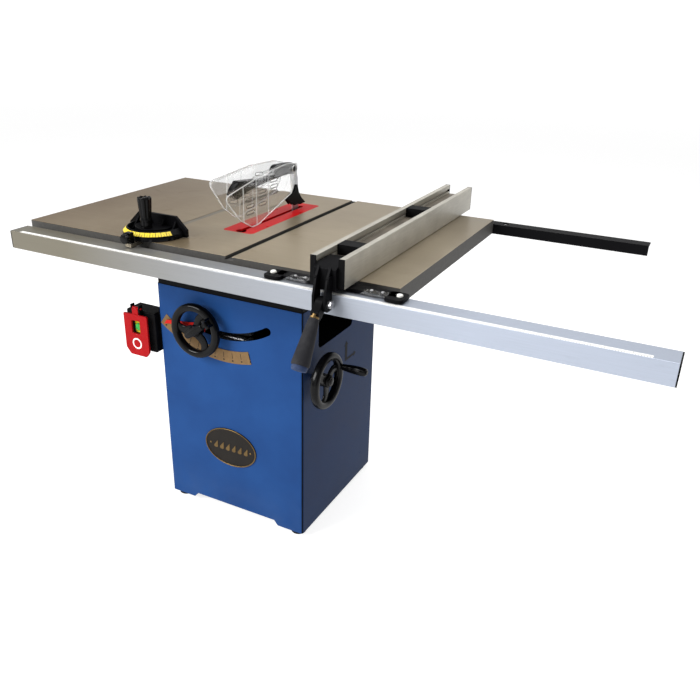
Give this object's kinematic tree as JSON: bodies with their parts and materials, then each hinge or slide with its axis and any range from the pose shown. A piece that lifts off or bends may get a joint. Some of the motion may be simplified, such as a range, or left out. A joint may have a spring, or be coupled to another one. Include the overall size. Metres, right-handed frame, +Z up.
{
  "type": "table saw",
  "caption": "Cabinet table saw with a tilting, rising blade, clear blade guard, T-square fence on a long rail, mitre gauge and two handwheels.",
  "frame": {"origin": "on the floor, under the middle of the whole saw's bounding box", "axes": "+X to the operator's right along the rails, +Y to the back, +Z up"},
  "size_m": [1.692, 0.9787, 1.0226],
  "materials": {
    "cabinet_blue": "semi-gloss powder coat",
    "frame_black": "satin black paint",
    "foot_black": "moulded rubber and zinc stem",
    "table_iron": "ground top, dark sides",
    "insert_red": "gloss red",
    "rail_aluminium": "satin anodised",
    "black_plastic": "fine texture",
    "bolt_steel": "zinc plated",
    "mechanism_iron": "grey paint",
    "bronze_plate": "etched and darkened",
    "gloss_black": "gloss",
    "handwheel_iron": "gloss black enamel",
    "switch_red": "semi-gloss",
    "switch_green": "semi-gloss",
    "steel": "ground",
    "blade_steel": "polished",
    "motor_grey": "satin",
    "belt_rubber": "cloth-faced rubber",
    "guard_clear": "clear polycarbonate",
    "fence_aluminium": "anodised",
    "nylon_white": "nylon",
    "grip_rubber": "moulded",
    "pointer_red": "gloss"
  },
  "bodies": {
    "base": {"cabinet": "cabinet_blue", "top_frame": "frame_black", "levelling_feet": "foot_black", "main_table": "table_iron", "left_wing": "table_iron", "right_wing": "table_iron", "table_bolts": "bolt_steel", "throat_plate": "insert_red", "front_rail": "rail_aluminium", "rail_end_caps": "black_plastic", "rear_rail": "frame_black", "front_trunnion": "mechanism_iron", "rear_trunnion": "mechanism_iron", "bevel_scale": "bronze_plate", "nameplate": "bronze_plate", "switch_box": "black_plastic", "dust_port": "black_plastic", "tilt_bearings": "mechanism_iron"},
    "tilt_carriage": {"tilt_cradle": "mechanism_iron", "guide_rods": "steel", "splitter": "steel", "guard_bridge": "gloss_black", "tilt_pointer": "pointer_red"},
    "arbor_slide": {"arbor_carriage": "mechanism_iron", "arbor_bearings": "steel", "motor_body": "motor_grey", "motor_fan_cover": "motor_grey", "drive_belt": "belt_rubber"},
    "arbor": {"arbor_shaft": "steel", "saw_blade": "blade_steel", "arbor_nut": "steel", "arbor_pulley": "mechanism_iron"},
    "motor_rotor": {"motor_shaft": "mechanism_iron"},
    "elevation_wheel": {"elevation_handwheel": "handwheel_iron", "elevation_shaft": "steel"},
    "elevation_crank": {"elevation_handle": "gloss_black"},
    "elevation_screw": {"elevation_screw": "steel"},
    "tilt_wheel": {"tilt_handwheel": "handwheel_iron", "tilt_shaft": "steel"},
    "tilt_crank": {"tilt_handle": "gloss_black"},
    "tilt_worm": {"tilt_worm": "steel"},
    "right_shield": {"guard_shield_right": "guard_clear"},
    "left_shield": {"guard_shield_left": "guard_clear"},
    "pawls": {"kickback_pawls": "frame_black"},
    "fence": {"fence_t_bar": "frame_black", "fence_beam": "frame_black", "fence_face_left": "fence_aluminium", "fence_face_right": "fence_aluminium", "fence_trim": "black_plastic", "fence_cursors": "guard_clear", "glide_pads": "nylon_white", "lever_bolt": "bolt_steel"},
    "fence_lever": {"fence_lever": "frame_black", "lever_grip": "grip_rubber"},
    "miter_slide": {"miter_bar": "steel"},
    "miter_head": {"miter_head": "frame_black"},
    "miter_knob": {"miter_handle": "gloss_black"},
    "miter_stop": {"miter_stop": "gloss_black"},
    "paddle": {"stop_paddle": "switch_red"},
    "button": {"start_button": "switch_green"}
  },
  "joints": [
    {"name": "blade_tilt", "type": "hinge", "parent": "base", "child": "tilt_carriage", "pos_m": [-0.287, 0.06634, 0.864], "axis": [0, -1, 0], "range_deg": [0, 45]},
    {"name": "blade_raise", "type": "slide", "parent": "tilt_carriage", "child": "arbor_slide", "axis": [0, 0, 1], "range_m": [0, 0.083]},
    {"name": "elevation_wheel", "type": "hinge", "parent": "tilt_carriage", "child": "elevation_wheel", "pos_m": [-0.35831, -0.19566, 0.60152], "axis": [0, 1, 0], "range_deg": [0, 2988]},
    {"name": "elevation_crank_fold", "type": "hinge", "parent": "elevation_wheel", "child": "elevation_crank", "pos_m": [-0.30261, -0.22266, 0.64052], "axis": [-0.5736, 0, 0.8192], "range_deg": [0, 90]},
    {"name": "elevation_screw_spin", "type": "hinge", "parent": "tilt_carriage", "child": "elevation_screw", "pos_m": [-0.35831, -0.04566, 0.60152], "axis": [0, 0, 1], "range_deg": [0, 2988]},
    {"name": "arbor_spin", "type": "hinge", "parent": "arbor_slide", "child": "arbor", "pos_m": [-0.287, 0.06634, 0.733], "axis": [1, 0, 0], "continuous": true},
    {"name": "motor_spin", "type": "hinge", "parent": "arbor_slide", "child": "motor_rotor", "pos_m": [-0.383, 0.16134, 0.613], "axis": [1, 0, 0], "continuous": true},
    {"name": "tilt_wheel", "type": "hinge", "parent": "base", "child": "tilt_wheel", "pos_m": [0.009, -0.11166, 0.503], "axis": [-1, 0, 0], "range_deg": [0, 4320]},
    {"name": "tilt_crank_spin", "type": "hinge", "parent": "tilt_wheel", "child": "tilt_crank", "pos_m": [0.009, -0.04568, 0.51945], "axis": [1, 0, 0], "continuous": true},
    {"name": "tilt_worm_spin", "type": "hinge", "parent": "base", "child": "tilt_worm", "pos_m": [-0.287, -0.11166, 0.563], "axis": [-1, 0, 0], "range_deg": [-4320, 0]},
    {"name": "right_shield_lift", "type": "hinge", "parent": "tilt_carriage", "child": "right_shield", "pos_m": [-0.265, 0.17834, 0.992], "axis": [-1, 0, 0], "range_deg": [0, 50]},
    {"name": "left_shield_lift", "type": "hinge", "parent": "tilt_carriage", "child": "left_shield", "pos_m": [-0.309, 0.17834, 0.992], "axis": [-1, 0, 0], "range_deg": [0, 50]},
    {"name": "pawl_lift", "type": "hinge", "parent": "tilt_carriage", "child": "pawls", "pos_m": [-0.287, 0.22234, 0.928], "axis": [1, 0, 0], "range_deg": [0, 25], "stiffness_Nm_per_rad": 0.3, "springref_deg": -11.46},
    {"name": "fence_slide", "type": "slide", "parent": "base", "child": "fence", "axis": [1, 0, 0], "range_m": [-0.332, 0.522]},
    {"name": "fence_lever_lift", "type": "hinge", "parent": "fence", "child": "fence_lever", "pos_m": [0.132, -0.37466, 0.836], "axis": [-1, 0, 0], "range_deg": [0, 90]},
    {"name": "miter_travel", "type": "slide", "parent": "base", "child": "miter_slide", "axis": [0, -1, 0], "range_m": [-0.4, 0.15]},
    {"name": "miter_swivel", "type": "hinge", "parent": "miter_slide", "child": "miter_head", "pos_m": [-0.458, -0.20966, 0.864], "axis": [0, 0, 1], "range_deg": [-60, 60]},
    {"name": "miter_lock", "type": "hinge", "parent": "miter_slide", "child": "miter_knob", "pos_m": [-0.458, -0.24366, 0.924], "axis": [0, 0, 1], "range_deg": [0, 120]},
    {"name": "miter_stop_pull", "type": "slide", "parent": "miter_slide", "child": "miter_stop", "axis": [0, -1, 0], "range_m": [0, 0.008], "stiffness_N_per_m": 400, "springref_m": -0.004},
    {"name": "stop_press", "type": "hinge", "parent": "base", "child": "paddle", "pos_m": [-0.573, -0.18966, 0.624], "axis": [1, 0, 0], "range_deg": [0, 4], "stiffness_Nm_per_rad": 1, "springref_deg": -5.73},
    {"name": "start_press", "type": "slide", "parent": "base", "child": "button", "axis": [0, 1, 0], "range_m": [0, 0.005], "stiffness_N_per_m": 300, "springref_m": -0.003}
  ],
  "couplings": [
    {"joint": "blade_raise", "follows": "elevation_wheel", "m_per_rad": 0.0015915},
    {"joint": "elevation_screw_spin", "follows": "elevation_wheel", "ratio": 1},
    {"joint": "blade_tilt", "follows": "tilt_wheel", "ratio": 0.010417},
    {"joint": "tilt_worm_spin", "follows": "tilt_wheel", "ratio": -1},
    {"joint": "motor_spin", "follows": "arbor_spin", "ratio": 0.62222}
  ]
}
